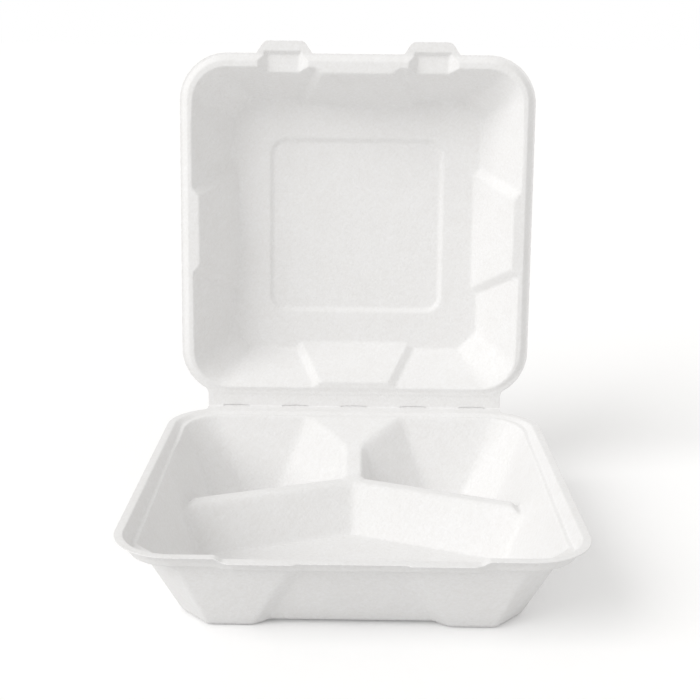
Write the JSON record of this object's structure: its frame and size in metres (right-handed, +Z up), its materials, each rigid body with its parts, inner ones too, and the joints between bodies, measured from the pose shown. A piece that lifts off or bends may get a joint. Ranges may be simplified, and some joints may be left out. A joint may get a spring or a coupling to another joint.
{
  "type": "clamshell food container",
  "caption": "Square moulded-pulp takeaway box standing open: tray with a swept cross ridge and a short divider, hinged lid with recessed panels and closing tabs.",
  "frame": {"origin": "middle of the tray's outline, at the height of the tray's underside", "axes": "+X to the right along the hinge, +Y from the front lip to the hinge, +Z up"},
  "size_m": [0.228, 0.2825, 0.2754],
  "materials": {
    "pulp": "matt, fine fibre texture"
  },
  "bodies": {
    "tray": {"tray": "pulp"},
    "lid": {"lid": "pulp"}
  },
  "joints": [
    {"name": "lid_fold", "type": "hinge", "parent": "tray", "child": "lid", "pos_m": [0, 0.1178, 0.04815], "axis": [1, 0, 0], "range_deg": [-84, 96]}
  ]
}
